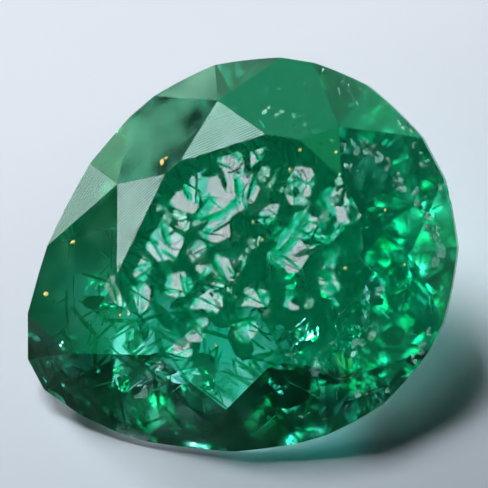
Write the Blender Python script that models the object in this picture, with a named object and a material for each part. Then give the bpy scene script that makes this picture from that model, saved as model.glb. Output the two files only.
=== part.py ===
"""A pear cut emerald: one faceted stone, lying on a facet of its underside."""

import math
from collections import namedtuple

import bmesh
import bpy
from mathutils import Matrix, Vector

MM = 0.001

# Outline of the stone, seen from above its table
# X runs from the tip to the round end, and X = 0 is over the point underneath.
LENGTH = 8.40 * MM
WIDTH = 7.00 * MM
TIP_X = -4.76 * MM
ROUND_END_X = TIP_X + LENGTH
WIDEST_X = 0.10 * MM
FLANK_POWER = 1.8
FLANK_ROUNDING = 0.65
SIDE_BULGE = 0.45
STEPS_PER_SIDE = 6

# Heights, from the middle of the girdle
GIRDLE = 0.19 * MM
CROWN_HEIGHT = 0.95 * MM
PAVILION_DEPTH = 2.50 * MM

GIRDLE_TOP = GIRDLE / 2
GIRDLE_FOOT = -GIRDLE / 2
TABLE_Z = GIRDLE_TOP + CROWN_HEIGHT
POINT_Z = GIRDLE_FOOT - PAVILION_DEPTH

# The cutter's chart for the seven kites, in order round the stone.
# Each kite meets the girdle from one X to another on the named side (+1 or -1),
# or from one Y to another for the kite at the round end, and rises at its slope.
# It meets the table along a short edge, which starts and ends at these distances
# from the kite's own middle line.
Kite = namedtuple("Kite", "name side start end slope edge_start edge_end")
KITES = (
    Kite("round_end", 0, -0.42 * MM, 0.42 * MM, 33.0, -0.37 * MM, 0.37 * MM),
    Kite("left_rear", 1, 2.50 * MM, 2.02 * MM, 34.3, -0.50 * MM, 0.13 * MM),
    Kite("left_side", 1, -0.38 * MM, -0.95 * MM, 34.3, -0.09 * MM, 0.27 * MM),
    Kite("left_tip", 1, -3.45 * MM, -3.80 * MM, 29.9, -0.25 * MM, -0.11 * MM),
    Kite("right_tip", -1, -3.90 * MM, -3.52 * MM, 30.3, 0.15 * MM, 0.31 * MM),
    Kite("right_side", -1, -1.02 * MM, -0.50 * MM, 33.8, -0.20 * MM, 0.14 * MM),
    Kite("right_rear", -1, 1.92 * MM, 2.38 * MM, 34.8, -0.16 * MM, 0.30 * MM),
)

# Between two kites lie a star at the table and a pair of halves at the girdle.
# The star's point hangs below the table by its drop, and the halves part at the
# girdle at split_x. The pair below runs its reach of the way down to the point.
# The gap at the tip has no such split: its girdle corners are given further down.
Gap = namedtuple("Gap", "name side split_x star_drop reach")
GAPS = (
    Gap("left_rear", 1, 3.18 * MM, 0.23 * MM, 0.66),
    Gap("left_side", 1, 0.88 * MM, 0.31 * MM, 0.70),
    Gap("left_tip", 1, -2.03 * MM, 0.33 * MM, 0.68),
    Gap("tip", 0, None, 0.25 * MM, 0.50),
    Gap("right_tip", -1, -2.12 * MM, 0.33 * MM, 0.68),
    Gap("right_side", -1, 0.72 * MM, 0.36 * MM, 0.70),
    Gap("right_rear", -1, 3.24 * MM, 0.28 * MM, 0.66),
)

# The tip is blunt: it ends in a short edge with one more corner on either side
TIP_CORNERS = (
    Vector((-4.36, 1.12, 0)) * MM,
    Vector((-4.76, 0.38, 0)) * MM,
    Vector((-4.75, -0.25, 0)) * MM,
    Vector((-4.37, -0.97, 0)) * MM,
)

# Chips at the girdle: place along the outline, size of the bite and its depth
Chip = namedtuple("Chip", "name x side radius depth tall")
CHIPS = (
    Chip("flake", 3.56 * MM, -1, 0.34 * MM, 0.085 * MM, 0.55),
    Chip("nick", 0.32 * MM, -1, 0.16 * MM, 0.040 * MM, 0.80),
)
CHIP_STEPS = 3
CHIP_TANGENT_STEP = 0.05 * MM

# The stone rests on a broad flat, ground across the main under this kite. It lies
# this deep inside the main at the two ends of its girdle edge and at the point.
REST_KITE = "right_tip"
FLAT_AT_START = 0.002 * MM
FLAT_AT_END = 0.038 * MM
FLAT_AT_POINT = 0.265 * MM

# How near a cut a corner must lie to count as on it, and the most that two faces
# may turn and still be joined as one facet
CUT_SNAP = 0.0005 * MM
FLAT_ANGLE = math.radians(0.02)

# The crystal: a deep slightly bluish green, polished
EMERALD_GREEN = (0.012, 0.235, 0.115, 1.0)
EMERALD_IOR = 1.577
POLISH_ROUGHNESS = 0.04

Plane = namedtuple("Plane", "point normal")


def half_width(x):
    """Half the stone's width at x, along its smooth pear outline."""
    if x < WIDEST_X:
        share = min((WIDEST_X - x) / (WIDEST_X - TIP_X), 1.0)
        return WIDTH / 2 * (1 - share**FLANK_POWER) ** FLANK_ROUNDING
    share = min((x - WIDEST_X) / (ROUND_END_X - WIDEST_X), 1.0)
    return WIDTH / 2 * math.sqrt(1 - share**2)


def round_end_x(y):
    """Where the round end's outline lies at y."""
    share = y / (WIDTH / 2)
    return WIDEST_X + (ROUND_END_X - WIDEST_X) * math.sqrt(1 - share**2)


def on_outline(x, side):
    """The corner of the girdle at x, on the side of y that side names."""
    return Vector((x, side * half_width(x), 0))


def kite_corners(kite):
    """The two corners of the girdle between which the kite meets it."""
    if kite.side == 0:
        start = Vector((round_end_x(kite.start), kite.start, 0))
        end = Vector((round_end_x(kite.end), kite.end, 0))
        return start, end
    return on_outline(kite.start, kite.side), on_outline(kite.end, kite.side)


def at_height(corner, z):
    return Vector((corner.x, corner.y, z))


def plane_through(a, b, c):
    """The plane through three points, facing away from the stone's middle."""
    normal = (b - a).cross(c - a).normalized()
    if normal.dot(a) < 0:
        normal = -normal
    return Plane(a, normal)


def meet(first, second, z):
    """The point at height z where two planes cross."""
    a, b = first.normal, second.normal
    first_reach = a.dot(first.point) - a.z * z
    second_reach = b.dot(second.point) - b.z * z
    turn = a.x * b.y - a.y * b.x
    x = (first_reach * b.y - second_reach * a.y) / turn
    y = (a.x * second_reach - b.x * first_reach) / turn
    return Vector((x, y, z))


def kite_plane(kite):
    """The kite's plane, and the two ends of its short edge on the table."""
    start, end = kite_corners(kite)
    along = (end - start).normalized()
    outward = Vector((along.y, -along.x, 0))
    if outward.dot(start) < 0:
        outward = -outward
    run = CROWN_HEIGHT / math.tan(math.radians(kite.slope))
    middle = at_height((start + end) / 2 - outward * run, TABLE_Z)
    plane = plane_through(at_height(start, GIRDLE_TOP), at_height(end, GIRDLE_TOP), middle)
    return plane, middle + along * kite.edge_start, middle + along * kite.edge_end


def cut(stone, plane):
    """Cuts away all that lies outside the plane and closes the facet."""
    everything = stone.verts[:] + stone.edges[:] + stone.faces[:]
    bmesh.ops.bisect_plane(
        stone,
        geom=everything,
        dist=CUT_SNAP,
        plane_co=plane.point,
        plane_no=plane.normal,
        clear_outer=True,
    )
    rim = [edge for edge in stone.edges if edge.is_boundary]
    if rim:
        bmesh.ops.contextual_create(stone, geom=rim)


def stops_between(number):
    """The girdle corners in the gap after a kite, from that kite to the next."""
    gap = GAPS[number]
    first = kite_corners(KITES[number])[1]
    last = kite_corners(KITES[(number + 1) % len(KITES)])[0]
    middle = TIP_CORNERS if gap.side == 0 else (on_outline(gap.split_x, gap.side),)
    return (first, *middle, last)


def side_points(start, end, side):
    """Points from one girdle corner to the next, along a slightly bulging side."""
    points = []
    for step in range(STEPS_PER_SIDE):
        share = step / STEPS_PER_SIDE
        chord = start.lerp(end, share)
        if abs(chord.y) > chord.x - WIDEST_X:
            curve = Vector((chord.x, side * half_width(chord.x), 0))
        else:
            curve = Vector((round_end_x(chord.y), chord.y, 0))
        points.append(chord.lerp(curve, SIDE_BULGE))
    return points


def girdle_outline():
    """The outline of the girdle as a closed ring of points."""
    ring = []
    for number, gap in enumerate(GAPS):
        ring.append(kite_corners(KITES[number])[0])
        stops = stops_between(number)
        for first, second in zip(stops, stops[1:]):
            if gap.side == 0:
                ring.append(first)
            else:
                ring += side_points(first, second, gap.side)
    return ring


def add_preform():
    """The preform: the outline drawn up from the level of the point to the table."""
    stone = bmesh.new()
    ring = [stone.verts.new(at_height(point, POINT_Z)) for point in girdle_outline()]
    foot = stone.faces.new(ring)
    grown = bmesh.ops.extrude_face_region(stone, geom=[foot])
    top = [item for item in grown["geom"] if isinstance(item, bmesh.types.BMVert)]
    bmesh.ops.translate(stone, vec=(0, 0, TABLE_Z - POINT_Z), verts=top)
    bmesh.ops.recalc_face_normals(stone, faces=stone.faces[:])
    return stone


def cut_halves(stone, number, peak, z):
    """Cuts the facets that fan from a peak between two kites to the girdle."""
    stops = stops_between(number)
    for first, second in zip(stops, stops[1:]):
        cut(stone, plane_through(at_height(first, z), at_height(second, z), peak))


def cut_crown(stone):
    """Kites, stars and upper halves, above the girdle."""
    kites = [kite_plane(kite) for kite in KITES]
    for plane, _, _ in kites:
        cut(stone, plane)
    for number, gap in enumerate(GAPS):
        after = (number + 1) % len(KITES)
        peak = meet(kites[number][0], kites[after][0], TABLE_Z - gap.star_drop)
        cut(stone, plane_through(kites[number][2], kites[after][1], peak))
        cut_halves(stone, number, peak, GIRDLE_TOP)


def main_corners(kite):
    """The corners of the main under a kite: two on the girdle and the point."""
    start, end = kite_corners(kite)
    return at_height(start, GIRDLE_FOOT), at_height(end, GIRDLE_FOOT), Vector((0, 0, POINT_Z))


def rest_flat():
    """The plane of the flat that the stone lies on."""
    kite = next(kite for kite in KITES if kite.name == REST_KITE)
    start, end, point = main_corners(kite)
    inward = -plane_through(start, end, point).normal
    start += inward * FLAT_AT_START
    end += inward * FLAT_AT_END
    point += inward * FLAT_AT_POINT
    return plane_through(start, end, point)


def cut_pavilion(stone):
    """Mains, lower halves and the flat that the stone lies on, below the girdle."""
    mains = [plane_through(*main_corners(kite)) for kite in KITES]
    for plane in mains:
        cut(stone, plane)
    for number, gap in enumerate(GAPS):
        after = (number + 1) % len(KITES)
        peak = meet(mains[number], mains[after], GIRDLE_FOOT - gap.reach * PAVILION_DEPTH)
        cut_halves(stone, number, peak, GIRDLE_FOOT)
    flat = rest_flat()
    cut(stone, flat)
    return flat


def resting_pose(rest):
    """The turn that lays the rest facet on the ground, with the pear along X."""
    down = rest.normal.rotation_difference(Vector((0, 0, -1))).to_matrix()
    pear = down @ Vector((1, 0, 0))
    level = Matrix.Rotation(-math.atan2(pear.y, pear.x), 3, "Z")
    return (level @ down).to_4x4()


def emerald_material():
    """Clear green crystal with a glassy polish."""
    material = bpy.data.materials.new("emerald_crystal")
    material.use_nodes = True
    shader = material.node_tree.nodes["Principled BSDF"]
    shader.inputs["Base Color"].default_value = EMERALD_GREEN
    shader.inputs["Roughness"].default_value = POLISH_ROUGHNESS
    shader.inputs["Metallic"].default_value = 0.0
    shader.inputs["IOR"].default_value = EMERALD_IOR
    shader.inputs["Transmission Weight"].default_value = 1.0
    return material


def add_object(name, mesh_source, collection):
    mesh = bpy.data.meshes.new(name)
    mesh_source.to_mesh(mesh)
    mesh_source.free()
    added = bpy.data.objects.new(name, mesh)
    collection.objects.link(added)
    return added


def add_chip_cutter(chip, pose, collection):
    """A small ball, flattened and set where the girdle is chipped."""
    ball = bmesh.new()
    bmesh.ops.create_icosphere(ball, subdivisions=CHIP_STEPS, radius=chip.radius)
    bmesh.ops.scale(ball, vec=(1, 1, chip.tall), verts=ball.verts)
    edge = on_outline(chip.x, chip.side)
    before = on_outline(chip.x - CHIP_TANGENT_STEP, chip.side)
    along = (edge - before).normalized()
    outward = Vector((along.y, -along.x, 0))
    if outward.dot(edge) < 0:
        outward = -outward
    centre = edge + outward * (chip.radius - chip.depth)
    bmesh.ops.translate(ball, vec=centre, verts=ball.verts)
    bmesh.ops.transform(ball, matrix=pose, verts=ball.verts)
    cutter = add_object("cutter_" + chip.name, ball, collection)
    cutter.hide_render = True
    cutter.display_type = "WIRE"
    return cutter


def main():
    for old in list(bpy.data.objects):
        bpy.data.objects.remove(old, do_unlink=True)

    scene = bpy.context.scene
    stones = bpy.data.collections.new("pear_cut_emerald")
    cutters = bpy.data.collections.new("cutters")
    cutters.hide_render = True
    scene.collection.children.link(stones)
    scene.collection.children.link(cutters)

    stone = add_preform()
    cut_crown(stone)
    rest = cut_pavilion(stone)
    bmesh.ops.dissolve_limit(
        stone, angle_limit=FLAT_ANGLE, verts=stone.verts[:], edges=stone.edges[:]
    )
    bmesh.ops.recalc_face_normals(stone, faces=stone.faces[:])

    # The stone is laid down, then centred over the origin with its foot at Z = 0
    pose = resting_pose(rest)
    turned = [pose @ vert.co for vert in stone.verts]
    low = Vector([min(p[axis] for p in turned) for axis in range(3)])
    high = Vector([max(p[axis] for p in turned) for axis in range(3)])
    shift = Vector((-(low.x + high.x) / 2, -(low.y + high.y) / 2, -low.z))
    pose = Matrix.Translation(shift) @ pose
    bmesh.ops.transform(stone, matrix=pose, verts=stone.verts[:])

    emerald = add_object("emerald", stone, stones)
    emerald.data.materials.append(emerald_material())
    for chip in CHIPS:
        chipping = emerald.modifiers.new(chip.name, "BOOLEAN")
        chipping.operation = "DIFFERENCE"
        chipping.solver = "EXACT"
        chipping.object = add_chip_cutter(chip, pose, cutters)


main()
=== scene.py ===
# %% [markdown]
# # A pear cut emerald
#
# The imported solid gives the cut: seven kites round a table, the girdle with its two
# chips, and the flat that the stone lies on. What makes this emerald look like one is
# inside it. A natural emerald is full of healed cracks, and this one is crowded with
# them, so the script finishes the crystal first and then fills it, crack by crack.

import math
import random

import bpy
from mathutils import Matrix, Vector


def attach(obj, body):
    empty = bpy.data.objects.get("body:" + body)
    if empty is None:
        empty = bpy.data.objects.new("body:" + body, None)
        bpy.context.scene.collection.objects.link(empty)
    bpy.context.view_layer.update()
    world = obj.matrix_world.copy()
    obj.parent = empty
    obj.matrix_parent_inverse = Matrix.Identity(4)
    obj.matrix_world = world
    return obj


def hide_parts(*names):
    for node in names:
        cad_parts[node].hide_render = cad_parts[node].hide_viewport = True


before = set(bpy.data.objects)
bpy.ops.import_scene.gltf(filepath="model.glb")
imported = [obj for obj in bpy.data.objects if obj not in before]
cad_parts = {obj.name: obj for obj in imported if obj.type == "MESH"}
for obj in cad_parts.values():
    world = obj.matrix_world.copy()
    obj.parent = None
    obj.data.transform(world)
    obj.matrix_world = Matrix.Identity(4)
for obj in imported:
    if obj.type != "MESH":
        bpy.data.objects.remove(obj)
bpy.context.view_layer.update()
MM = 0.001
scene = bpy.context.scene

# %% [markdown]
# ## The cutter's frame
#
# A cutter measures a stone from its table and girdle, and this one lies tilted. So
# places inside it are given in the cutter's own frame, in millimetres: X from the tip to
# the round end, Y to the left side, Z up through the table, from the middle of the
# girdle. Three directions and an origin, from the part's own pose, turn that into the
# frame of the solid.

# %% From the cutter's frame to the part's
CUT_X = Vector((0.9490682, 0.0, 0.3150708))
CUT_Y = Vector((-0.1359714, 0.9020852, 0.4095779))
CUT_Z = Vector((-0.2842207, -0.4315580, 0.8561404))
CUT_ORIGIN = Vector((0.5409, -0.0024, 1.9574)) * MM
LAID_DOWN = Matrix((CUT_X, CUT_Y, CUT_Z)).transposed()
TABLE_HEIGHT = 1.045


def in_part(x, y, z):
    """A place in the cutter's frame, in millimetres, as a place in the part, in metres."""
    return CUT_ORIGIN + LAID_DOWN @ Vector((x, y, z)) * MM


print("middle of the table:", [round(v / MM, 2) for v in in_part(0, 0, TABLE_HEIGHT)])

# %% [markdown]
# ## The camera
#
# The camera comes early, because much in this stone is placed by where it shows. The
# photograph was taken with a long lens, nearly straight above the table. Its direction,
# roll and distance were found from the corners of the facets, to two or three pixels.

# %% Camera
PICTURE_SIDE = 488
LENS = 374.1
SENSOR = 36.0
RIGHT = Vector((0.94127, -0.31493, -0.12178))
UP = Vector((0.33171, 0.79507, 0.50777))
BACK = Vector((-0.06309, -0.51835, 0.85284))
EYE = Vector((-5.4849, -47.3143, 80.3296)) * MM
NEAREST_SEEN, FURTHEST_SEEN = 0.01, 4.0

camera_data = bpy.data.cameras.new("camera")
camera_data.lens = LENS
camera_data.sensor_width = SENSOR
camera_data.clip_start = NEAREST_SEEN
camera_data.clip_end = FURTHEST_SEEN
camera = bpy.data.objects.new("camera", camera_data)
scene.collection.objects.link(camera)
camera.rotation_euler = Matrix((RIGHT, UP, BACK)).transposed().to_euler()
camera.location = EYE
scene.camera = camera
print("camera", round(EYE.length / MM), "mm away")

# %% [markdown]
# ## Three helpers
#
# An operator works on all that is selected, so one helper selects only what is meant.
# Colours are written as on a screen, in sRGB hex, and one helper turns them into the
# linear values that light is reckoned in. A material is a tree of nodes, and one
# helper adds a node with its settings and its links in a single line.


# %% Selecting only what is meant
def activate(*pieces):
    """Selects these pieces alone, the last of them active."""
    bpy.ops.object.select_all(action="DESELECT")
    for piece in pieces:
        piece.select_set(True)
    bpy.context.view_layer.objects.active = pieces[-1] if pieces else None


# %% Colours from sRGB hex
def srgb(code):
    """A colour written as sRGB hex, in the linear values that Blender counts in."""
    channels = [int(code[i : i + 2], 16) / 255 for i in (0, 2, 4)]
    linear = [c / 12.92 if c <= 0.04045 else ((c + 0.055) / 1.055) ** 2.4 for c in channels]
    return (*linear, 1.0)


# %% One helper for every node
def add_node(tree, kind, settings=None, **inputs):
    """Adds a node, sets its properties, and gives each named input a value or a link.

    An underscore in an input's name stands for a space, and _0 or _1 for its number.
    """
    node = tree.nodes.new(kind)
    for name, value in (settings or {}).items():
        setattr(node, name, value)
    for name, value in inputs.items():
        key = int(name[1:]) if name[0] == "_" else name.replace("_", " ")
        if isinstance(value, bpy.types.NodeSocket):
            tree.links.new(value, node.inputs[key])
        else:
            node.inputs[key].default_value = value
    return node


def new_tree(name):
    """An empty material of this name, and its node tree."""
    material = bpy.data.materials.new(name)
    material.use_nodes = True
    material.node_tree.nodes.clear()
    return material, material.node_tree


def absorb(tree, surface, colour, density):
    """Ends a tree with its surface, round a volume that absorbs all but a colour."""
    inside = add_node(tree, "ShaderNodeVolumeAbsorption", Color=colour, Density=density)
    add_node(tree, "ShaderNodeOutputMaterial", Surface=surface.outputs[0],
             Volume=inside.outputs[0])


def coat(piece, material):
    """Gives a piece this material in place of any other."""
    piece.data.materials.clear()
    piece.data.materials.append(material)


# %% [markdown]
# ## The crystal
#
# Emerald is green beryl, polished and as clear as glass, and its colour is in its
# depth: the further light goes, the greener it gets. So the surface has no colour of
# its own. Transmission 1 with the index of refraction of beryl, 1.577, bends the light,
# and a volume that absorbs red strongly, blue less and green least colours it.
#
# A facet also mirrors what it faces. The sheen is the tint of that mirror image, a painted
# reflection: its green stands for the parts of the room that no lamp here stands for.

# %% Beryl
BERYL_IOR = 1.577
GREEN_DEPTH_PER_M = 600.0
BODY_COLOUR = (0.0, 0.81, 0.67, 1.0)


# By default the sheen paints every reflection deep green.
def beryl(name, finish=None, roughness=0.0, sheen=srgb("00cc88"), skin=srgb("ffffff"),
          clear=1.0):
    """Polished green beryl.

    finish, if given, adds its roughness and bump to the node tree. sheen is a painted
    tint of what the surface mirrors, skin tints what passes it, and clear is the share
    that passes.
    """
    material, tree = new_tree(name)
    surface = add_node(tree, "ShaderNodeBsdfPrincipled", Base_Color=skin, Roughness=roughness,
                       IOR=BERYL_IOR, Transmission_Weight=clear, Specular_Tint=sheen)
    if finish:
        finish(tree, surface)
    absorb(tree, surface, BODY_COLOUR, GREEN_DEPTH_PER_M)
    return material


print("a millimetre of beryl passes", round(math.exp(-GREEN_DEPTH_PER_M * MM), 2), "of the red")

# %% [markdown]
# ### Finishes of a facet
#
# A polished facet is never quite flat or clear. A soft lap leaves it slightly domed,
# and wear leaves patches where what lies deep looks blurred. A facet that wasn't
# polished to the end keeps the fine lines of the lap, with dull bottoms. A torn face,
# inside a crack or on the girdle, has small ribs. None of these changes the outline, so
# each is a bump and a roughness of a size in millimetres, in a function of its own, so
# that any facet can have it.

# %% Domed and worn
WEAR_WIDTH = 0.5
WORN_FROM, WORN_TO = 0.35, 0.62


def softly_domed(width, depth, finest, dullest):
    """A facet that isn't quite flat, with its width and depth in mm, and worn in places.

    Where its polish is worn, from the roughness finest to dullest, what is deep blurs.
    """

    def finish(tree, surface):
        place = add_node(tree, "ShaderNodeTexCoord")
        swell = add_node(tree, "ShaderNodeTexNoise", Vector=place.outputs["Object"],
                         Scale=1 / (width * MM), Detail=1.0)
        bump = add_node(tree, "ShaderNodeBump", Strength=1.0, Distance=depth * MM,
                        Height=swell.outputs["Fac"])
        wear = add_node(tree, "ShaderNodeTexNoise", Vector=place.outputs["Object"],
                        Scale=1 / (WEAR_WIDTH * MM), Detail=2.0)
        dull = add_node(tree, "ShaderNodeMapRange", _0=wear.outputs["Fac"], _1=WORN_FROM,
                        _2=WORN_TO, _3=finest, _4=dullest)
        tree.links.new(dull.outputs[0], surface.inputs["Roughness"])
        tree.links.new(bump.outputs[0], surface.inputs["Normal"])

    return finish


# %% Torn
RIB_TURN = (0.3, -0.4, 0.9)
RIB_STRETCH = (0.15, 1.0, 0.6)


def hackled(spacing, depth):
    """The fine ribs on a torn surface, with their spacing and depth in mm."""

    def finish(tree, surface):
        place = add_node(tree, "ShaderNodeTexCoord")
        stretched = add_node(tree, "ShaderNodeMapping", Vector=place.outputs["Object"],
                             Rotation=RIB_TURN,
                             Scale=[share / (spacing * MM) for share in RIB_STRETCH])
        ribs = add_node(tree, "ShaderNodeTexNoise", Vector=stretched.outputs[0], Scale=1.0,
                        Detail=1.0)
        bump = add_node(tree, "ShaderNodeBump", Strength=1.0, Distance=depth * MM,
                        Height=ribs.outputs["Fac"])
        tree.links.new(bump.outputs[0], surface.inputs["Normal"])

    return finish


# %% Lapped
# A wave texture has 20 / tau bands to a unit, so this scale makes it one band.
ONE_BAND = math.tau / 20
LENGTHWISE = 0.03
GROOVE_WANDER = 3.0
GROUND_FROM, GROUND_TO = 0.45, 0.95
FINEST_GROUND = 0.05


def polish_lines(along, facing, spacing, depth, dullest):
    """Fine grooves along a direction, their spacing and depth in mm, with dull bottoms."""
    along = (along - facing * along.dot(facing)).normalized()

    def finish(tree, surface):
        place = add_node(tree, "ShaderNodeTexCoord")
        turned = along.to_track_quat("X", "Z").inverted().to_euler()
        laid = add_node(tree, "ShaderNodeMapping", Vector=place.outputs["Object"], Rotation=turned)
        across = 1 / (spacing * MM)
        stretched = add_node(tree, "ShaderNodeMapping", Vector=laid.outputs[0],
                             Scale=(LENGTHWISE * across, across, across))
        grooves = add_node(tree, "ShaderNodeTexWave", {"bands_direction": "Y"},
                           Vector=stretched.outputs[0], Scale=ONE_BAND,
                           Distortion=GROOVE_WANDER, Detail=2.0, Detail_Scale=0.6)
        dull = add_node(tree, "ShaderNodeMapRange", _0=grooves.outputs["Fac"], _1=GROUND_FROM,
                        _2=GROUND_TO, _3=FINEST_GROUND, _4=dullest)
        bump = add_node(tree, "ShaderNodeBump", Strength=1.0, Distance=depth * MM,
                        Height=grooves.outputs["Fac"])
        tree.links.new(dull.outputs[0], surface.inputs["Roughness"])
        tree.links.new(bump.outputs[0], surface.inputs["Normal"])

    return finish


# %% [markdown]
# ### The cut stone
#
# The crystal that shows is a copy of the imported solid, so its shape stays as it was
# cut. The solid comes as loose triangles. Merging its corners and dissolving the edges
# between flat neighbours gives one face to each facet, which later steps find by the
# way it faces. The copy drops the tags of the solid, because it is a piece of its own.

# %% Facets
SAME_CORNER = 0.0005 * MM
FLAT_WITHIN = math.radians(0.3)
SMALLEST_FACET = 0.01 * MM * MM

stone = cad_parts["emerald"].copy()
stone.data = stone.data.copy()
stone.name = stone.data.name = "crystal"
scene.collection.objects.link(stone)
for key in list(stone.keys()):
    del stone[key]
activate(stone)
bpy.ops.object.mode_set(mode="EDIT")
bpy.ops.mesh.select_all(action="SELECT")
bpy.ops.mesh.remove_doubles(threshold=SAME_CORNER)
bpy.ops.mesh.dissolve_limited(angle_limit=FLAT_WITHIN)
bpy.ops.object.mode_set(mode="OBJECT")
FACETS = [(f.center.copy(), f.normal.copy()) for f in stone.data.polygons if f.area > SMALLEST_FACET]
print("the cut stone has", len(stone.data.polygons), "facets")

# %% [markdown]
# ## Where a place in the picture lies in the stone
#
# Light bends as it enters the stone, so what shows at one spot of the picture lies on
# a bent line. These helpers follow it: it meets one facet, turns by the law of
# refraction, and goes on inside. The stone is convex, so a line enters it through the
# last facet plane that it crosses from outside.

# %% Follow a line of sight into the stone
FOCAL = LENS / SENSOR * PICTURE_SIDE
PIXELS_PER_MM = FOCAL / (EYE.length / MM)
GRAZING = 1e-6


def refract(ray, normal, ratio):
    """The direction of a ray after it passes a surface, with the ratio of the two indices."""
    cosine = -ray.dot(normal)
    leaning = ratio * ratio * (1 - cosine * cosine)
    return (ray * ratio + normal * (ratio * cosine - math.sqrt(1 - leaning))).normalized()


def sight_line(u, v):
    """Where the line of sight at a pixel enters the stone, its way inside, and the facet's normal."""
    middle = PICTURE_SIDE / 2
    ray = (RIGHT * (u - middle) - UP * (v - middle) - BACK * FOCAL).normalized()
    reached, facing = -1.0, BACK
    for centre, normal in FACETS:
        towards = ray.dot(normal)
        if towards < -GRAZING:
            step = (centre - EYE).dot(normal) / towards
            if step > reached:
                reached, facing = step, normal
    return EYE + ray * reached, refract(ray, facing, 1 / BERYL_IOR), facing


def below(u, v, depth):
    """The place that shows at a pixel, this many millimetres inside the stone."""
    start, way, _ = sight_line(u, v)
    return start + way * depth * MM


def inset(place):
    """How far inside the stone a place is, in metres. It is negative outside."""
    return min((centre - place).dot(normal) for centre, normal in FACETS)


print("the table's middle shows at depth 0:", [round(c / MM, 2) for c in below(244, 244, 0)])

# %% [markdown]
# ## Cracks
#
# A crack in a crystal is a thin gap of air. Light that meets it steeply passes, and
# light that meets it at a slant is thrown back, so a crack is a mirror from one side
# and nearly unseen from another. A healed or stained crack is filled, so it doesn't
# mirror, and its filling is greener than the stone: faint when it faces you and a dark
# line when it is seen on edge.
#
# Both start from the same few plates: a flat many-sided disc, its corners pushed about
# at random, cut finer, rounded or left sharp, and given a little thickness. Shards and
# splinters are fine enough to bend. Chips and slivers are repeated hundreds of times,
# so they have only a few dozen faces.

# %% Plates to copy
SHARD_SEEDS = (3, 11, 18, 27, 42, 56)
SPLINTER_SEEDS = (5, 9, 14, 22, 31)


def cut_shard(corners, push, cuts, rounds, seed):
    """A flat plate of this many corners, pushed about, each edge cut and the corners eased."""
    activate()
    bpy.ops.mesh.primitive_circle_add(vertices=corners, radius=1.0, fill_type="TRIFAN")
    shard = bpy.context.active_object
    bpy.ops.object.mode_set(mode="EDIT")
    bpy.ops.transform.vertex_random(offset=push, seed=seed)
    bpy.ops.transform.resize(value=(1, 1, 0))
    if cuts:
        bpy.ops.mesh.subdivide(number_cuts=cuts)
    if rounds:
        bpy.ops.mesh.vertices_smooth(factor=0.5, repeat=rounds)
    bpy.ops.mesh.extrude_region_move(TRANSFORM_OT_translate={"value": (0, 0, 1)})
    bpy.ops.mesh.select_all(action="SELECT")
    bpy.ops.mesh.normals_make_consistent(inside=False)
    bpy.ops.object.mode_set(mode="OBJECT")
    return shard


# Corners, push, cuts and rounds.
shards = [cut_shard(8, 0.28, 3, 3, seed) for seed in SHARD_SEEDS]
splinters = [cut_shard(14, 0.30, 3, 0, seed) for seed in SPLINTER_SEEDS]
chips = [cut_shard(12, 0.26, 0, 1, seed) for seed in SHARD_SEEDS]
slivers = [cut_shard(14, 0.30, 0, 0, seed) for seed in SPLINTER_SEEDS]
for kind, plates in (("shards", shards), ("splinters", splinters), ("chips", chips),
                     ("slivers", slivers)):
    print(len(plates), kind, "of", len(plates[0].data.polygons), "faces")

# %% Lay a crack
RIM_SPOTS = 12
RIM_REACH = 1.15


def lay(shard, centre, facing, radius, aspect, spin, thickness):
    """A copy of a plate as a crack: its middle, the way it faces, and its size in metres."""
    crack = shard.copy()
    crack.data = shard.data.copy()
    scene.collection.objects.link(crack)
    turn = facing.to_track_quat("Z", "Y").to_matrix() @ Matrix.Rotation(spin, 3, "Z")
    size = Matrix.Diagonal((radius, radius * aspect, thickness, 1))
    crack.data.transform(Matrix.Translation(centre) @ turn.to_4x4() @ size)
    return crack


def fits(centre, facing, radius, aspect, spin, margin):
    """True if a crack of this size stays inside the stone, with a margin in metres."""
    turn = facing.to_track_quat("Z", "Y").to_matrix() @ Matrix.Rotation(spin, 3, "Z")
    for spot in range(RIM_SPOTS):
        angle = math.tau * spot / RIM_SPOTS
        rim = Vector((math.cos(angle), math.sin(angle) * aspect, 0)) * radius * RIM_REACH
        if inset(centre + turn @ rim) < margin:
            return False
    return True


# %% [markdown]
# ### Bending
#
# No crack is flat: it followed the strain in the crystal as it grew. So the cracks of
# one kind are joined, and a Displace modifier with a cloud texture bends them all at
# once, neighbours alike. A bend can push a corner out through a facet, which no crack
# can do. Such corners are pressed back, just under the facet.

# %% Bend the cracks
UNDER_THE_FACET = 0.005
PRESSES = 3


def warp(piece, name, wavelength, amount):
    """Pushes a piece about by a cloud of this wavelength and amount, in millimetres."""
    cloud = bpy.data.textures.new(name, "CLOUDS")
    cloud.cloud_type = "COLOR"
    cloud.noise_scale = wavelength * MM
    cloud.noise_depth = 1
    push = piece.modifiers.new(name, "DISPLACE")
    push.texture = cloud
    push.texture_coords = "GLOBAL"
    push.direction = "RGB_TO_XYZ"
    push.strength = amount * MM
    push.mid_level = 0.5
    activate(piece)
    bpy.ops.object.modifier_apply(modifier=name)


def press_in(piece, least):
    """Presses each corner that is nearer than this to a facet back into the stone, in metres."""
    pressed = 0
    for corner in piece.data.vertices:
        if inset(corner.co) < least:
            pressed += 1
            for _ in range(PRESSES):
                for centre, normal in FACETS:
                    short = least - (centre - corner.co).dot(normal)
                    if short > 0:
                        corner.co -= normal * short
    return pressed


def joined(cracks, name, bends):
    """All these cracks as one piece, bent by clouds of these wavelengths and amounts in mm."""
    activate(*cracks)
    bpy.ops.object.join()
    piece = bpy.context.active_object
    piece.name = piece.data.name = name
    for number, (wavelength, amount) in enumerate(bends):
        warp(piece, name + "_bend_" + str(number), wavelength, amount)
    pressed = press_in(piece, UNDER_THE_FACET * MM)
    reach = min(inset(corner.co) for corner in piece.data.vertices)
    print(name, "stay inside the facets by", round(reach / MM, 4), "mm,", pressed, "corners pressed in")
    return piece


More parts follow.
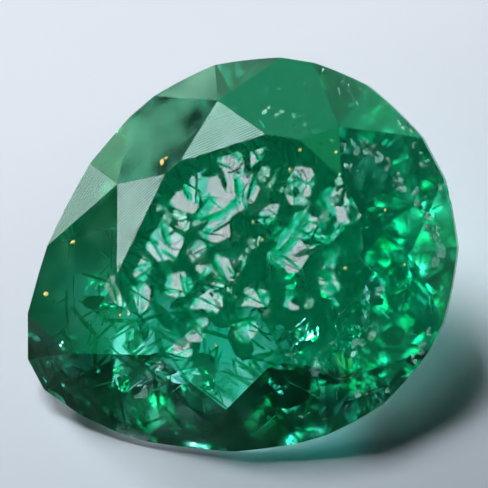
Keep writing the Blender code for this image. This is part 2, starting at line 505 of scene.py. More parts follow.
# %% [markdown]
# ### Cracks all through the stone
#
# Most cracks lie anywhere and face anywhere, so that the stone is as crowded from
# every side. Their sizes run from a few hundredths of a millimetre to a millimetre and
# a half, with many more small ones than large. The clear windows of the stone are kept
# open: a crack that would show across one isn't laid. Air flashes more than filling
# does, so open cracks also keep away from the quiet facets by the tip.

# %% Windows kept open
# Each is a spot of the picture and a radius, in pixels.
WINDOWS = (
    (190, 205, 17), (215, 195, 17), (165, 243, 12), (140, 262, 10), (228, 243, 12), (285, 250, 11),
    (217, 272, 9), (253, 297, 8), (300, 185, 9), (207, 305, 8), (137, 300, 8), (340, 205, 12),
)
QUIET = WINDOWS + ((88, 240, 34), (62, 300, 32), (120, 165, 30), (150, 140, 35))


def picture_place(place):
    """The pixel where a place inside the stone shows, leaving out the bending of light."""
    away = place - EYE
    deep = -away.dot(BACK)
    middle = PICTURE_SIDE / 2
    return middle + FOCAL * away.dot(RIGHT) / deep, middle - FOCAL * away.dot(UP) / deep


def near_one(openings, u, v):
    """True if a pixel lies in one of these windows."""
    return any(math.hypot(u - x, v - y) < reach for x, y, reach in openings)


# %% Scatter cracks through the stone
# The block that holds the stone, in the cutter's frame and in millimetres.
BLOCK_X, BLOCK_Y, BLOCK_Z = (-4.6, 3.6), (-3.4, 3.4), (-2.4, 1.0)
ASPECTS = (0.45, 1.0)
AIR = 0.006
FILLING = 0.014
draw = random.Random(20)


def any_way(spread=1.0):
    """A random vector, of this spread along each axis."""
    return Vector([draw.gauss(0, spread) for _ in range(3)])


def scatter(plates, count, smallest, largest, thickness, margin, kept_open, steepness=0.0):
    """Cracks at random places, of sizes in millimetres. Steep ones stand upright to the table."""
    laid = []
    while len(laid) < count:
        centre = in_part(draw.uniform(*BLOCK_X), draw.uniform(*BLOCK_Y), draw.uniform(*BLOCK_Z))
        radius = smallest * (largest / smallest) ** draw.random() * MM
        facing = any_way()
        facing = (facing - CUT_Z * facing.dot(CUT_Z) * steepness).normalized()
        aspect, spin = draw.uniform(*ASPECTS), draw.uniform(0, math.tau)
        shard = draw.choice(plates)
        if inset(centre) < margin * MM or near_one(kept_open, *picture_place(centre)):
            continue
        if fits(centre, facing, radius, aspect, spin, margin * MM):
            laid.append(lay(shard, centre, facing, radius, aspect, spin, thickness * MM))
    return laid


# Plates, count, smallest and largest radius, thickness and margin in mm, and what stays open.
air = scatter(shards, 130, 0.25, 0.95, AIR, 0.22, QUIET)
stained = scatter(shards, 90, 0.4, 1.5, FILLING, 0.22, WINDOWS, 0.8)
flecks = scatter(chips, 240, 0.05, 0.20, 2 * FILLING, 0.09, WINDOWS)
glints = scatter(chips, 60, 0.03, 0.09, AIR, 0.06, QUIET)
print(len(air), "open cracks,", len(stained), "stained,", len(flecks), "flecks,", len(glints), "glints")

# %% [markdown]
# ### Veils
#
# Round the rim broad healed cracks lie almost along the facets, like thin curtains, and
# make the stone darker there. Each is placed by the spot of the picture where it shows,
# just under the facet, and shrinks until it fits.

# %% Hang the veils
# Each is a spot of the picture in pixels, then a depth and a radius in mm.
VEILS = (
    (75, 350, 0.2, 0.6), (130, 400, 0.4, 0.6), (100, 360, 0.5, 0.5), (240, 390, 0.4, 0.5),
    (225, 385, 0.2, 0.4), (330, 110, 0.2, 0.5), (365, 130, 0.2, 0.4), (398, 170, 0.15, 0.3),
    (290, 98, 0.2, 0.35), (398, 282, 0.15, 0.3), (300, 150, 0.3, 0.4), (425, 250, 0.15, 0.3),
    (355, 395, 0.2, 0.4), (300, 410, 0.2, 0.4), (140, 420, 0.15, 0.35), (350, 240, 0.2, 0.4),
    (375, 330, 0.2, 0.4), (410, 320, 0.2, 0.35), (330, 300, 0.2, 0.35), (385, 250, 0.3, 0.4),
)
VEIL_THICKNESS = 0.035
VEIL_MARGIN = 0.07
SMALLEST_VEIL = 0.12
ASIDE = 0.12
SHRINK = 0.85


def veil(u, v, depth, radius):
    """A thick stained crack along the facet at a pixel, at a depth and of a radius in mm."""
    _, _, facing = sight_line(u, v)
    facing = (facing + any_way(ASIDE)).normalized()
    centre, spin, aspect = below(u, v, depth), draw.uniform(0, math.tau), draw.uniform(0.6, 1.0)
    while (radius > SMALLEST_VEIL
           and not fits(centre, facing, radius * MM, aspect, spin, VEIL_MARGIN * MM)):
        radius *= SHRINK
    return lay(draw.choice(shards), centre, facing, radius * MM, aspect, spin, VEIL_THICKNESS * MM)


veils = [veil(*row) for row in VEILS]
print(len(veils), "veils")

# %% [markdown]
# ### Cracks that mirror the softbox
#
# The whitish windows of this stone are flat open cracks just under the table that
# throw the light of the softbox straight to the eye. A crack does that where it faces
# halfway between the two, as they run inside the stone, after both have bent. Rows of
# small cracks that face nearly the same way make the feathers: silvery streaks by the
# right edge and across the front.

# %% Flat cracks
SOFTBOX_WAY = Vector((-0.586, 0.395, 0.707))
# As for the veils. The first three are the large windows side by side.
MIRRORS = (
    (207, 203, 0.38, 0.80), (180, 210, 0.36, 0.50), (233, 190, 0.36, 0.50), (228, 243, 0.43, 0.50),
    (285, 250, 0.43, 0.48), (300, 185, 0.38, 0.36), (217, 272, 0.43, 0.44), (253, 297, 0.38, 0.34),
    (207, 305, 0.43, 0.34), (197, 327, 0.38, 0.30), (137, 300, 0.38, 0.32), (228, 160, 0.33, 0.26),
    (253, 155, 0.33, 0.32), (340, 205, 0.43, 0.46), (165, 243, 0.43, 0.42), (140, 262, 0.43, 0.34),
    (270, 215, 0.43, 0.28), (320, 250, 0.53, 0.42), (355, 240, 0.48, 0.44), (118, 292, 0.35, 0.30),
    (178, 285, 0.40, 0.26), (200, 253, 0.40, 0.26), (245, 263, 0.40, 0.22), (302, 226, 0.40, 0.30),
    (328, 228, 0.40, 0.30), (160, 335, 0.35, 0.22), (182, 350, 0.35, 0.22), (246, 330, 0.40, 0.24),
    (290, 300, 0.40, 0.24), (330, 282, 0.40, 0.24), (268, 318, 0.40, 0.20),
)
LARGE_WINDOWS = 3
MIRROR_MARGIN = 0.035
SMALLEST_MIRROR = 0.02
MIRROR_ASIDE, FEATHER_ASIDE = 0.03, 0.08


def mirroring(u, v):
    """The way a crack below a pixel faces to mirror the softbox."""
    _, way, facet = sight_line(u, v)
    return (-way - refract(-SOFTBOX_WAY, facet, 1 / BERYL_IOR)).normalized()


def flat_crack(u, v, depth, radius, unsure, plates=splinters):
    """An open crack below a pixel that faces the softbox, made smaller until it fits, if any does."""
    facing = (mirroring(u, v) + any_way(unsure)).normalized()
    centre, spin, aspect = below(u, v, depth), draw.uniform(0, math.tau), draw.uniform(0.5, 0.9)
    while not fits(centre, facing, radius * MM, aspect, spin, MIRROR_MARGIN * MM):
        radius *= SHRINK
        if radius < SMALLEST_MIRROR:
            return None
    return lay(draw.choice(plates), centre, facing, radius * MM, aspect, spin, AIR * MM)


mirrors = [flat_crack(*row, MIRROR_ASIDE) for row in MIRRORS]
assert all(mirrors)
print(len(mirrors), "flat cracks")

# %% Feathers
# Each row is a depth and a radius in mm, how many cracks, and the spots it runs along.
FEATHER_LINES = (
    (0.25, 0.13, 14, ((200, 325), (165, 360), (140, 393))),
    (0.20, 0.10, 8, ((155, 205), (178, 216), (200, 222))),
    (0.30, 0.12, 8, ((330, 200), (350, 210), (362, 235))),
    (0.35, 0.10, 8, ((300, 300), (330, 300), (360, 320))),
    (0.30, 0.10, 7, ((290, 355), (315, 372), (322, 345))),
    (0.10, 0.07, 9, ((380, 395), (415, 360), (435, 330))),
    (0.10, 0.07, 9, ((290, 420), (330, 412), (370, 395))),
    (0.11, 0.09, 20, ((364, 140), (373, 153), (391, 171), (403, 189))),
    (0.10, 0.09, 16, ((413, 188), (424, 215), (432, 232), (440, 241), (438, 259))),
    (0.15, 0.09, 9, ((361, 148), (350, 166), (338, 184))),
    (0.15, 0.10, 12, ((225, 300), (240, 262), (262, 240))),
    (0.15, 0.10, 10, ((262, 175), (300, 205), (322, 212))),
    (0.20, 0.12, 12, ((380, 290), (372, 330), (345, 352))),
    (0.06, 0.05, 34, ((322, 72), (380, 100), (418, 144), (446, 196))),
    (0.10, 0.05, 12, ((262, 108), (300, 118), (345, 150))),
)
BESIDE_THE_ROW = 3


def feather_row(depth, radius, count, spots):
    """Small open cracks, evenly along a row of spots and a few pixels to either side of it."""
    row = []
    for number in range(count):
        along = number / (count - 1) * (len(spots) - 1)
        leg = min(int(along), len(spots) - 2)
        (u0, v0), (u1, v1), part = spots[leg], spots[leg + 1], along - leg
        u = u0 + (u1 - u0) * part + draw.gauss(0, BESIDE_THE_ROW)
        v = v0 + (v1 - v0) * part + draw.gauss(0, BESIDE_THE_ROW)
        row.append(flat_crack(u, v, depth * draw.uniform(0.6, 1.6), radius * draw.uniform(0.6, 1.4),
                              FEATHER_ASIDE, slivers))
    return [crack for crack in row if crack]


feathers = []
for line in FEATHER_LINES:
    feathers += feather_row(*line)
print(len(feathers), "feathers")

# %% [markdown]
# ### Ring-shaped cracks
#
# Round a trapped grain or bubble the crystal split in rings, which show as fine bright
# loops, some one inside another. A thin torus, a little oval and facing the eye, gives
# that line of light.

# %% Rings
# As for the veils.
RINGS = (
    (257, 193, 0.15, 0.33), (257, 193, 0.20, 0.25), (257, 193, 0.25, 0.17), (287, 180, 0.15, 0.26),
    (287, 180, 0.2, 0.18), (125, 255, 0.15, 0.24), (170, 233, 0.15, 0.22), (243, 283, 0.2, 0.16),
    (228, 160, 0.1, 0.16), (340, 362, 0.2, 0.34),
)
RING_THINNESS = 0.035

activate()
bpy.ops.mesh.primitive_torus_add(major_segments=40, minor_segments=6, major_radius=1.0,
                                 minor_radius=RING_THINNESS)
hoop = bpy.context.active_object
rings = []
for u, v, depth, radius in RINGS:
    _, way, _ = sight_line(u, v)
    facing = (-way + any_way(ASIDE)).normalized()
    rings.append(lay(hoop, below(u, v, depth), facing, radius * MM, draw.uniform(0.75, 0.95),
                     draw.uniform(0, math.tau), radius * MM))
print(len(rings), "rings")

# %% [markdown]
# ### Seams
#
# The dark lines that cross the table are filled cracks seen on edge: the eye looks
# along the filling, and so through much of it. A seam is a row of narrow plates from
# one spot of the picture to the next, which stand along the line of sight to within a
# few degrees. The short ones are drawn at random along the three directions in which
# this crystal split.

# %% A seam, seen on edge
SEAM_REACH = 0.6
SEAM_HALF_DEPTH = 0.20
SEAM_SET_BACK = 0.14
SEAM_LEAN = 5
LONG_SEAM_THICKNESS = 0.07


def seam(depth, spots, thick=LONG_SEAM_THICKNESS, plates=shards):
    """Stained cracks in a row along spots of the picture, each on edge to the line of sight."""
    row = []
    for near, far in zip(spots, spots[1:]):
        a, b = below(*near, depth), below(*far, depth)
        way = sight_line(*near)[1]
        along = b - a
        lean = Matrix.Rotation(math.radians(draw.uniform(-SEAM_LEAN, SEAM_LEAN)), 3, along)
        facing = (lean @ along.cross(way)).normalized()
        turned = facing.to_track_quat("Z", "Y").to_matrix()
        spin = math.atan2(along.dot(turned.col[1]), along.dot(turned.col[0]))
        centre, reach = (a + b) / 2 + way * SEAM_SET_BACK * MM, along.length * SEAM_REACH
        row.append(lay(draw.choice(plates), centre, facing, reach, SEAM_HALF_DEPTH * MM / reach, spin,
                       thick * MM))
    return row


# %% Short seams
# The part of the picture that the stone fills, and how seams lie in it, in pixels and degrees.
ACROSS_THE_PICTURE, DOWN_THE_PICTURE = (40, 450), (75, 440)
SEAM_DEPTHS = (0.09, 0.28)
SEAM_REACHES = (6, 24)
SPLITS_ALONG, SPLIT_SPREAD = (38, -38, -80), 12
SEAM_END_MARGIN = 0.05


def short_seams(count, thinnest, thickest):
    """Short seams at random spots of the picture, most of them along three directions."""
    rows = []
    while len(rows) < count:
        u, v = draw.uniform(*ACROSS_THE_PICTURE), draw.uniform(*DOWN_THE_PICTURE)
        depth, reach = draw.uniform(*SEAM_DEPTHS), draw.uniform(*SEAM_REACHES)
        angle = math.radians(draw.gauss(draw.choice(SPLITS_ALONG), SPLIT_SPREAD))
        du, dv = reach * math.cos(angle), -reach * math.sin(angle)
        spots = ((u - du, v - dv), (u + du, v + dv))
        if near_one(WINDOWS, u, v):
            continue
        if min(inset(below(*spot, depth)) for spot in spots) > SEAM_END_MARGIN * MM:
            rows += seam(depth, spots, draw.uniform(thinnest, thickest), chips)
    return rows


# %% [markdown]
# The long seams are traced along the darkest lines of the stone. A hair is a seam so
# thin that it stayed open, and it shows bright. Across each window but the three large
# ones run two thin dark chords, because a crack that flashes is itself crossed by others:
# they cut its white into small panes.

# %% Lay the seams
# Each is a depth in mm, then the spots of the picture that it runs through.
SEAMS = (
    (0.16, ((340, 160), (300, 213), (237, 265))),
    (0.14, ((153, 202), (177, 213), (200, 222), (227, 212), (240, 197), (237, 177))),
    (0.11, ((193, 220), (213, 193))),
    (0.18, ((203, 233), (207, 260), (227, 287), (243, 300))),
    (0.23, ((163, 253), (203, 280), (233, 287))),
    (0.27, ((237, 265), (270, 260), (300, 240), (340, 243))),
    (0.18, ((100, 323), (140, 322), (163, 317))),
    (0.23, ((210, 327), (257, 320), (287, 327), (307, 340))),
    (0.20, ((273, 320), (282, 297), (273, 280))),
    (0.14, ((181, 402), (207, 422), (233, 443))),
    (0.14, ((53, 364), (76, 388), (100, 413))),
    (0.18, ((345, 160), (352, 205), (345, 250), (360, 300))),
    (0.32, ((150, 330), (185, 350), (215, 390))),
    (0.27, ((250, 360), (300, 350), (340, 330))),
    (0.16, ((262, 150), (243, 200), (250, 236))),
    (0.14, ((285, 205), (262, 232), (220, 250))),
    (0.20, ((310, 262), (330, 290), (372, 312))),
    (0.16, ((260, 300), (290, 282), (330, 290))),
    (0.18, ((175, 300), (196, 330), (243, 345))),
    (0.16, ((310, 185), (330, 222), (323, 262))),
    (0.14, ((375, 215), (392, 262), (388, 305))),
    (0.20, ((120, 345), (150, 372), (158, 410))),
    (0.16, ((350, 330), (372, 352), (402, 352))),
    (0.14, ((268, 110), (300, 128), (352, 120))),
    (0.16, ((370, 170), (362, 205), (383, 240))),
    (0.20, ((225, 372), (262, 392), (290, 425))),
    (0.18, ((72, 310), (95, 338), (92, 375))),
)
CHORDS = 2
CHORD_REACH, CHORD_ASIDE = 1.1, 0.45
CHORD_DEPTHS, CHORD_THICKNESSES = (0.10, 0.18), (0.014, 0.034)


def chord(u, v, radius):
    """A thin seam across the window at a pixel, of a radius in mm, a little past its middle."""
    reach, angle = radius * PIXELS_PER_MM * CHORD_REACH, draw.uniform(0, math.tau)
    du, dv = reach * math.cos(angle), reach * math.sin(angle)
    aside_u, aside_v = draw.gauss(0, reach * CHORD_ASIDE), draw.gauss(0, reach * CHORD_ASIDE)
    spots = ((u + aside_u - du, v + aside_v - dv), (u + aside_u + du, v + aside_v + dv))
    return seam(draw.uniform(*CHORD_DEPTHS), spots, draw.uniform(*CHORD_THICKNESSES), chips)


seams = short_seams(330, 0.020, 0.055)
hairs = short_seams(90, 0.006, 0.012)
for depth, spots in SEAMS:
    seams += seam(depth, spots)
for u, v, _, radius in MIRRORS[LARGE_WINDOWS:]:
    for _ in range(CHORDS):
        seams += chord(u, v, radius)
print(len(seams), "seams,", len(hairs), "hairs")

# %% [markdown]
# ### Open cracks are hollows in the crystal
#
# Inside an open crack there is air and not beryl, so its walls belong to the crystal:
# they are the crystal's own surface, seen from inside. Each kind is joined and bent,
# all are turned inside out, and they become one mesh with the cut stone later. Then
# light leaves the beryl at one wall and enters it again at the other, as it should.
# The walls are torn, so the flat ones and the feathers have fine ribs.

# %% Join the open cracks
# A bend is a wavelength and an amount, both in mm.
BENT = ((1.6, 0.30), (0.35, 0.035))
HARDLY_BENT = ((0.9, 0.020), (0.25, 0.002))
RING_BEND = ((0.3, 0.05),)
FEATHER_BENDS = ((0.5, 0.08), (0.12, 0.022))

pieces = [joined(air, "open_cracks", BENT), joined(glints + rings + hairs, "rings", RING_BEND),
          joined(mirrors, "flat_cracks", HARDLY_BENT), joined(feathers, "feathers", FEATHER_BENDS)]
# The sheens of the crack walls are painted reflection tints: pinkish white on the flat cracks, pale
# green on the feathers, and a darker green on the other open cracks.
HACKLED = beryl("hackled_beryl", hackled(0.07, 0.0007), sheen=srgb("ffe0ee"))
FEATHERED = beryl("feathered_beryl", hackled(0.05, 0.0016), sheen=srgb("c8fff0"))
PLAIN_CLEFT = beryl("cleft_beryl", sheen=srgb("58b090"))
for piece, torn in zip(pieces, (PLAIN_CLEFT, PLAIN_CLEFT, HACKLED, FEATHERED)):
    coat(piece, torn)

# %% Turn them inside out
activate(*pieces[::-1])
bpy.ops.object.join()
hollows = bpy.context.active_object
bpy.ops.object.mode_set(mode="EDIT")
bpy.ops.mesh.select_all(action="SELECT")
bpy.ops.mesh.flip_normals()
bpy.ops.object.mode_set(mode="OBJECT")
print("the hollows have", len(hollows.data.polygons), "faces")

# %% [markdown]
# ### Stained cracks
#
# A healed crack holds a green filling with nearly the index of the beryl round it, so
# light passes straight on and only gets greener. So it is given an index of 1.0 against
# the crystal, no roughness, and a volume that absorbs some forty times as strongly as
# beryl. Face on it is a faint stain, and on edge a dark green line.

# %% The filling
FILLING_DENSITY_PER_M = 26000.0
FILLING_COLOUR = (0.0, 0.80, 0.64, 1.0)
BLOT_WIDTH = 0.22
BLOT_FROM, BLOT_TO = 0.44, 0.60


def stained_crack():
    """Green filling that colours the light and doesn't bend it.

    It isn't even: it has spread in ferns and blots, about a fifth of a millimetre wide.
    """
    material, tree = new_tree("stained_crack")
    place = add_node(tree, "ShaderNodeTexCoord")
    blots = add_node(tree, "ShaderNodeTexNoise", Vector=place.outputs["Object"],
                     Scale=1 / (BLOT_WIDTH * MM), Detail=1.0, Roughness=0.7)
    stain = add_node(tree, "ShaderNodeMapRange", {"interpolation_type": "SMOOTHSTEP"},
                     _0=blots.outputs["Fac"], _1=BLOT_FROM, _2=BLOT_TO)
    tint = add_node(tree, "ShaderNodeMix", {"data_type": "RGBA"}, _0=stain.outputs[0],
                    _6=(1, 1, 1, 1), _7=srgb("eaf8f1"))
    surface = add_node(tree, "ShaderNodeBsdfPrincipled", Base_Color=tint.outputs[2], Roughness=0.0,
                       IOR=1.0, Transmission_Weight=1.0)
    absorb(tree, surface, FILLING_COLOUR, FILLING_DENSITY_PER_M)
    return material


# %% Join the stained cracks
SEAM_BENDS = ((0.6, 0.06), (0.2, 0.016))
CRINKLE = ((0.12, 0.02),)

lines = joined(seams + flecks + veils, "seams", SEAM_BENDS)
stains = joined(stained, "stained_cracks", BENT + CRINKLE)
activate(lines, stains)
bpy.ops.object.join()
coat(stains, stained_crack())
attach(stains, "root")
print("stained cracks:", sum(len(f.vertices) - 2 for f in stains.data.polygons), "triangles")

# %% [markdown]
# ### Specks and a drop
#
# A few grains of another mineral, opaque and of a dull gold colour, are caught just
# under the facets. One rounded milky spot lies deeper: a drop of filling in a pocket.
# Both start as spheres, which are laid as the cracks are and bent out of true.


# %% The stuff of a grain
MOTTLE_WIDTH = 0.03


def grain(name, tint, dull, clear, index):
    """A small body inside the crystal, uneven in colour over a few hundredths of a millimetre."""
    material, tree = new_tree(name)
    place = add_node(tree, "ShaderNodeTexCoord")
    mottle = add_node(tree, "ShaderNodeTexNoise", Vector=place.outputs["Object"],
                      Scale=1 / (MOTTLE_WIDTH * MM))
    tone = add_node(tree, "ShaderNodeMix", {"data_type": "RGBA"}, _0=mottle.outputs["Fac"],
                    _6=srgb(tint), _7=srgb(dull))
    surface = add_node(tree, "ShaderNodeBsdfPrincipled", Base_Color=tone.outputs[2], Roughness=0.5,
                       Transmission_Weight=clear, IOR=index)
    add_node(tree, "ShaderNodeOutputMaterial", Surface=surface.outputs[0])
    return material


# %% Gold-coloured specks
# As for the veils.
GRAINS = (
    (162, 162, 0.06, 0.050), (166, 158, 0.06, 0.028), (46, 294, 0.06, 0.045), (73, 242, 0.08, 0.040),
    (300, 150, 0.1, 0.028), (290, 170, 0.1, 0.024), (336, 152, 0.1, 0.022), (262, 240, 0.1, 0.024),
    (253, 222, 0.1, 0.020), (345, 268, 0.12, 0.026), (385, 210, 0.1, 0.022), (120, 315, 0.1, 0.024),
    (216, 345, 0.12, 0.022), (405, 265, 0.1, 0.020), (181, 290, 0.1, 0.018),
)
GRAIN_LENGTH, GRAIN_ASPECT = 1.6, 0.6
GRAIN_BEND = ((0.05, 0.01),)

activate()
bpy.ops.mesh.primitive_ico_sphere_add(subdivisions=1, radius=1.0)
pip = bpy.context.active_object
grains = [lay(pip, below(u, v, depth), any_way().normalized(), radius * GRAIN_LENGTH * MM,
              GRAIN_ASPECT, 0.0, radius * MM) for u, v, depth, radius in GRAINS]
specks = joined(grains, "specks", GRAIN_BEND)
coat(specks, grain("gold_coloured_speck", "dcb060", "94742c", 0.0, 1.5))
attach(specks, "root")
print(len(grains), "specks")

# %% The milky drop
DROP_SPOT = (340, 362)
DROP_DEPTH, DROP_RADIUS, DROP_FLATNESS = 0.95, 0.24, 0.4
DROP_ASPECT, DROP_TURN = 0.85, 0.6
DROP_BEND = ((0.2, 0.11),)

activate()
bpy.ops.mesh.primitive_ico_sphere_add(subdivisions=3, radius=1.0)
ball = bpy.context.active_object
drop = joined([lay(ball, below(*DROP_SPOT, DROP_DEPTH), -sight_line(*DROP_SPOT)[1], DROP_RADIUS * MM,
                   DROP_ASPECT, DROP_TURN, DROP_RADIUS * DROP_FLATNESS * MM)], "pale_drops", DROP_BEND)
coat(drop, grain("milky_filling", "b8f090", "80d880", 0.65, 1.0))
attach(drop, "root")
for spare in (pip, ball):
    bpy.data.objects.remove(spare, do_unlink=True)
print("the drop has", len(drop.data.polygons), "faces")

# %% [markdown]
# ## The finish of each facet
#
# Every facet of a hand-cut stone was polished on its own, so no two are quite alike.
# Here the table is the flattest, and its sheen, a painted reflection, the darkest. The
# crown round it is a little worn. Two stars and a half still show the lines of the lap,
# and some facets are domed enough to mirror a wide, pale part of the room. Each facet's
# sheen also paints how bright and how green its reflection is, so lit and darker copies
# of one beryl sit side by side. The stone is one piece, so these facets get materials of
# their own, found by the spot of the picture where each shows.

# %% Table and crown
TABLE_UPRIGHT = 0.99

coat(stone, PLAIN_CLEFT)
# The table's sheen is a painted reflection, a darker green than the crown's default.
stone.data.materials.append(beryl("polished_table", softly_domed(1.6, 0.012, 0.03, 0.10),
                                  sheen=srgb("009060")))
stone.data.materials.append(beryl("worn_crown", softly_domed(1.2, 0.04, 0.07, 0.16)))
TABLE_SLOT, CROWN_SLOT = 1, 2
for face in stone.data.polygons:
    face.material_index = TABLE_SLOT if face.normal.dot(CUT_Z) > TABLE_UPRIGHT else CROWN_SLOT
print("facets of the table:", sum(f.material_index == TABLE_SLOT for f in stone.data.polygons))


# %% Facets with a finish of their own
def grooved(along, spacing, depth, dullest):
    """Lines of the lap along a direction, for whichever facet asks."""
    return lambda facing: polish_lines(along, facing, spacing, depth, dullest)


def domed(facing):
    """The dullest polish, on the most domed facets."""
    return softly_domed(1.6, 0.15, 0.14, 0.26)


def worn(facing):
    """A clearer polish, on a facet that is nearly flat."""
    return softly_domed(1.2, 0.04, 0.03, 0.11)


# Each is a name, a spot of the picture on the facet, its finish and its sheen, a painted
# tint that sets how bright and how green the facet's reflection is.
LAPPED = (
    ("lapped_star_by_the_side", (221, 132), grooved(RIGHT + UP * 0.35, 0.045, 0.0013, 0.50), "7eac9f"),
    ("lapped_star_by_the_tip", (133, 211), grooved(RIGHT + UP * 0.60, 0.045, 0.0013, 0.50), "6e998d"),
    ("lapped_half_by_the_tip", (74, 202), grooved(RIGHT + UP * 0.90, 0.060, 0.0008, 0.35), "c8fff0"),
    ("kite_with_painted_pale_sheen", (140, 160), domed, "58ffc8"),
    ("half_with_painted_pale_sheen", (195, 92), domed, "84ffd0"),
    ("star_by_the_round_end", (318, 145), worn, "38ffa4"),
    ("kite_at_the_back", (286, 103), worn, "28ffb4"),
)
SAME_WAY = 0.9999

for slot_number, (name, spot, finish, sheen) in enumerate(LAPPED, CROWN_SLOT + 1):
    _, _, facing = sight_line(*spot)
    stone.data.materials.append(beryl(name, finish(facing), sheen=srgb(sheen)))
    matched = 0
    for face in stone.data.polygons:
        if face.normal.dot(facing) > SAME_WAY:
            face.material_index = slot_number
            matched += 1
    print(name, "on", matched, "face(s)")

# %% [markdown]
# ### Girdle and underside
#
# The girdle is ground and not polished, so it is frosted: pale, dull and only partly
# clear. Its faces are small and stand upright to the table. Under the tip a faint green
# skin stands for the many healed cracks that reach that thin edge.

# %% Ground girdle and the skin under the tip
UPRIGHT_WITHIN = 0.20
LARGEST_GROUND_FACE = 1.2 * MM * MM
FACES_DOWN = -0.2
THE_FLAT = -0.999
TIP_BEFORE = -0.5 * MM

# Its sheen paints a pale green reflection, which with the frost makes the girdle pale.
stone.data.materials.append(beryl("ground_girdle", hackled(0.05, 0.004), roughness=0.40,
                                  sheen=srgb("d0ffe8"), clear=0.86, skin=srgb("a0dcc8")))
stone.data.materials.append(beryl("skin_under_the_tip", skin=srgb("70ffc8")))
ground, under = len(stone.data.materials) - 2, len(stone.data.materials) - 1
for face in stone.data.polygons:
    upright = face.normal.dot(CUT_Z)
    if abs(upright) < UPRIGHT_WITHIN and face.area < LARGEST_GROUND_FACE:
        face.material_index = ground
    elif upright < FACES_DOWN and face.normal.z > THE_FLAT and face.center.x < TIP_BEFORE:
        face.material_index = under
print("ground faces:", sum(f.material_index == ground for f in stone.data.polygons),
      "under the tip:", sum(f.material_index == under for f in stone.data.polygons))

# %% The crystal with its hollows
activate(hollows, stone)
bpy.ops.object.join()
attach(stone, "root")
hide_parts("emerald")
for plate in shards + splinters + chips + slivers + [hoop]:
    bpy.data.objects.remove(plate, do_unlink=True)
print("crystal with its hollows:", sum(len(f.vertices) - 2 for f in stone.data.polygons), "triangles")

# %% [markdown]
# ## The paper
#
# The stone lies on pale bluish paper. It is lighter at the back than at the front, more
# than the lamps alone make it, so that fall-off of light is also painted into the paper's
# colour: painted shade, darker towards the front. It lies a hair below the stone, so that
# the two don't share a plane.

# %% Paper
PAPER_SIDE = 2.0
PAPER_DROP = 0.004
# Where the painted shade on the paper starts and ends, along Y in mm.
PAINTED_SHADE_FROM, PAINTED_SHADE_TO = 5.5, -7.0

activate()
bpy.ops.mesh.primitive_plane_add(size=PAPER_SIDE, location=(0, 0, -PAPER_DROP * MM))
floor = bpy.context.active_object
floor.name = "floor"
paper, tree = new_tree("paper")
place = add_node(tree, "ShaderNodeTexCoord")
across = add_node(tree, "ShaderNodeSeparateXYZ", Vector=place.outputs["Object"])
# Painted shade: the paper's colour runs from the lighter one at the back to the darker one at the
# front.
painted_shade = add_node(tree, "ShaderNodeMapRange", _0=across.outputs["Y"], _1=PAINTED_SHADE_FROM * MM,
                   _2=PAINTED_SHADE_TO * MM)
tone = add_node(tree, "ShaderNodeMix", {"data_type": "RGBA"}, _0=painted_shade.outputs[0],
                _6=srgb("d5dbe3"), _7=srgb("abb8c3"))
surface = add_node(tree, "ShaderNodeBsdfPrincipled", Base_Color=tone.outputs[2], Roughness=0.7)
add_node(tree, "ShaderNodeOutputMaterial", Surface=surface.outputs[0])
floor.data.materials.append(paper)
print("paper", PAPER_SIDE, "m wide,", PAPER_DROP, "mm below the stone")

# %% [markdown]
# ## The light
#
# A stone is lit by what its facets mirror, and the paper by what shines on it. In a
# room one light does both. Here each lamp is linked to one of them, so that each can be
# matched by itself: a lamp on the paper sets its shadow and its tone, and a lamp in the
# crystal sets a facet or a sparkle and no shadow.


# %% A softbox
def direction(azimuth, elevation):
    """The direction at these angles, in degrees, as seen from the stone."""
    a, e = math.radians(azimuth), math.radians(elevation)
    return Vector((math.cos(e) * math.cos(a), math.cos(e) * math.sin(a), math.sin(e)))


def add_softbox(name, towards, along, away, size, glow, colour):
    """A rectangular lamp that faces the stone, long along a direction, of a given radiance."""
    lamp = bpy.data.lights.new(name, "AREA")
    lamp.shape = "RECTANGLE"
    lamp.size, lamp.size_y = size
    lamp.energy = glow * math.pi * size[0] * size[1]
    lamp.color = srgb(colour)[:3]
    box = bpy.data.objects.new(name, lamp)
    scene.collection.objects.link(box)
    out = towards.normalized()
    x = (along - out * along.dot(out)).normalized()
    box.location = out * away
    box.rotation_euler = Matrix((x, out.cross(x), out)).transposed().to_euler()
    box.visible_camera = False
    return box


# %% What each lamp lights
in_crystal = bpy.data.collections.new("light_in_the_crystal")
for piece in (stone, stains, specks, drop):
    in_crystal.objects.link(piece)
on_paper = bpy.data.collections.new("light_on_the_paper")
on_paper.objects.link(floor)

# %% [markdown]
# ### Lamps on the paper
#
# The stone's soft shadow falls to the right and towards the front. Two lamps at the
# back make it: a low one throws it long, and a high one fills it near the stone.

# %% Keys
KEY_AWAY = 0.24

for name, towards, size, strength in (
    ("key_low", direction(112, 24), (0.080, 0.045), 39.0),
    ("key_high", direction(98, 57), (0.095, 0.060), 28.0),
):
    lamp = add_softbox(name, towards, RIGHT, KEY_AWAY, size, strength, "fcfdff")
    lamp.light_linking.receiver_collection = on_paper
    print(name, "is", round(size[0] / MM), "by", round(size[1] / MM), "mm")

# %% [markdown]
# ### Lamps in the crystal
#
# The softbox is so long that both lapped stars mirror it: it reaches from the one's
# direction to the other's. The card is a low pale wall at the back, mirrored by the
# pale kite. The skylight is high over the round end, and the panels are the walls: pale
# ones, and a green one that lights the dark side of the crown.

# %% Softbox, card, skylight and panels
star_a, star_b = direction(137, 59), direction(156, 31)

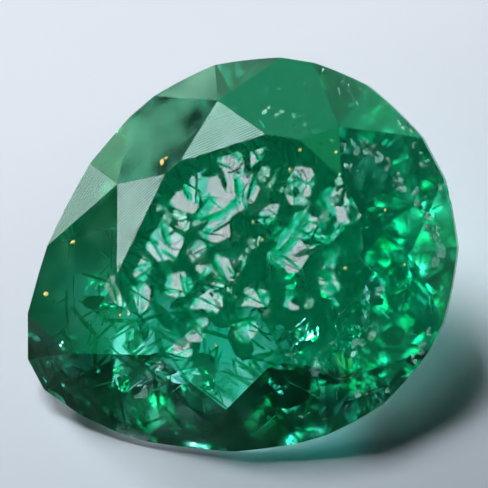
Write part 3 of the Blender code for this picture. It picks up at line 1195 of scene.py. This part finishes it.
for name, towards, along, away, size, strength, colour in (
    ("softbox", star_a + star_b, star_a - star_b, 0.075, (0.062, 0.036), 28.0, "fff8ff"),
    ("card", direction(121, 8), direction(211, 0), 0.25, (0.210, 0.155), 5.8, "e8fff6"),
    ("skylight", direction(40, 67), RIGHT, 0.24, (0.120, 0.110), 4.0, "fffdf8"),
    ("panel_0", direction(0, 30), UP, 0.25, (0.30, 0.30), 2.6, "d8f4ff"),
    ("panel_150", direction(152, 14), RIGHT, 0.25, (0.10, 0.09), 1.6, "60ffd8"),
    ("panel_60", direction(60, 30), UP, 0.25, (0.30, 0.30), 3.8, "eefcff"),
    ("panel_195", direction(197, 32), UP, 0.25, (0.28, 0.30), 3.6, "f4fff0"),
    ("panel_240", direction(-120, 30), UP, 0.25, (0.30, 0.30), 3.8, "d4f6ff"),
    ("panel_300", direction(-60, 30), UP, 0.25, (0.30, 0.30), 2.7, "eefcff"),
    ("panel_top", direction(90, 85), RIGHT, 0.25, (0.26, 0.26), 3.8, "eefcff"),
):
    lamp = add_softbox(name, towards, along, away, size, strength, colour)
    lamp.light_linking.receiver_collection = in_crystal

# %% [markdown]
# ### Light that the stone passes on
#
# A clear stone doesn't only shade the paper: it passes light on, green where it went
# deep and nearly white under the flat. Following that light through all the cracks
# would take far too long, so three small square lamps stand for it. They light the
# paper alone, nothing but the paper shades them, and no facet mirrors them.

# %% Three lamps for the light through the stone
THROUGH_SPREAD = math.radians(80)
THROUGH_AWAY = 0.1

for name, place, towards, size, strength, colour in (
    ("through_the_flat", (-1.07, -0.64, 1.2), (0, 0, 1), 2.6, 1.1, "fff4ff"),
    ("through_the_front", (0.2, -2.3, 1.2), (0, -0.35, 1), 2.4, 0.46, "20c4b0"),
    ("through_the_side", (2.6, -0.8, 1.6), (0.35, -0.1, 1), 2.6, 0.12, "48d0c8"),
):
    lamp = add_softbox(name, Vector(towards), RIGHT, THROUGH_AWAY, (size * MM, size * MM), strength,
                       colour)
    lamp.location = Vector(place) * MM
    lamp.light_linking.receiver_collection = on_paper
    lamp.light_linking.blocker_collection = on_paper
    lamp.data.spread = THROUGH_SPREAD
    lamp.visible_transmission = lamp.visible_glossy = False
    print(name, "at", place, "mm")

# %% [markdown]
# ### The room
#
# The room beyond the lamps is almost black, because the panels already stand for its
# walls. A trace of grey is left.

# %% Room
ROOM_GLOW = 0.006

room = bpy.data.worlds.new("room")
room.use_nodes = True
tree = room.node_tree
tree.nodes.clear()
glow = add_node(tree, "ShaderNodeBackground", Color=srgb("eaf0f6"), Strength=ROOM_GLOW)
add_node(tree, "ShaderNodeOutputWorld", Surface=glow.outputs[0])
scene.world = room
print("the room glows at", ROOM_GLOW)

# %% [markdown]
# ### How far light is followed
#
# Light crosses many cracks before it leaves the stone, and every wall counts as a
# bounce. With too few, the deep parts go dark.

# %% How far light is followed
scene.view_settings.view_transform = "Standard"
scene.cycles.max_bounces = 22
scene.cycles.transmission_bounces = 22
scene.cycles.glossy_bounces = 16
scene.cycles.diffuse_bounces = 2
scene.cycles.transparent_max_bounces = 64
print("light is followed through", scene.cycles.transmission_bounces, "walls")
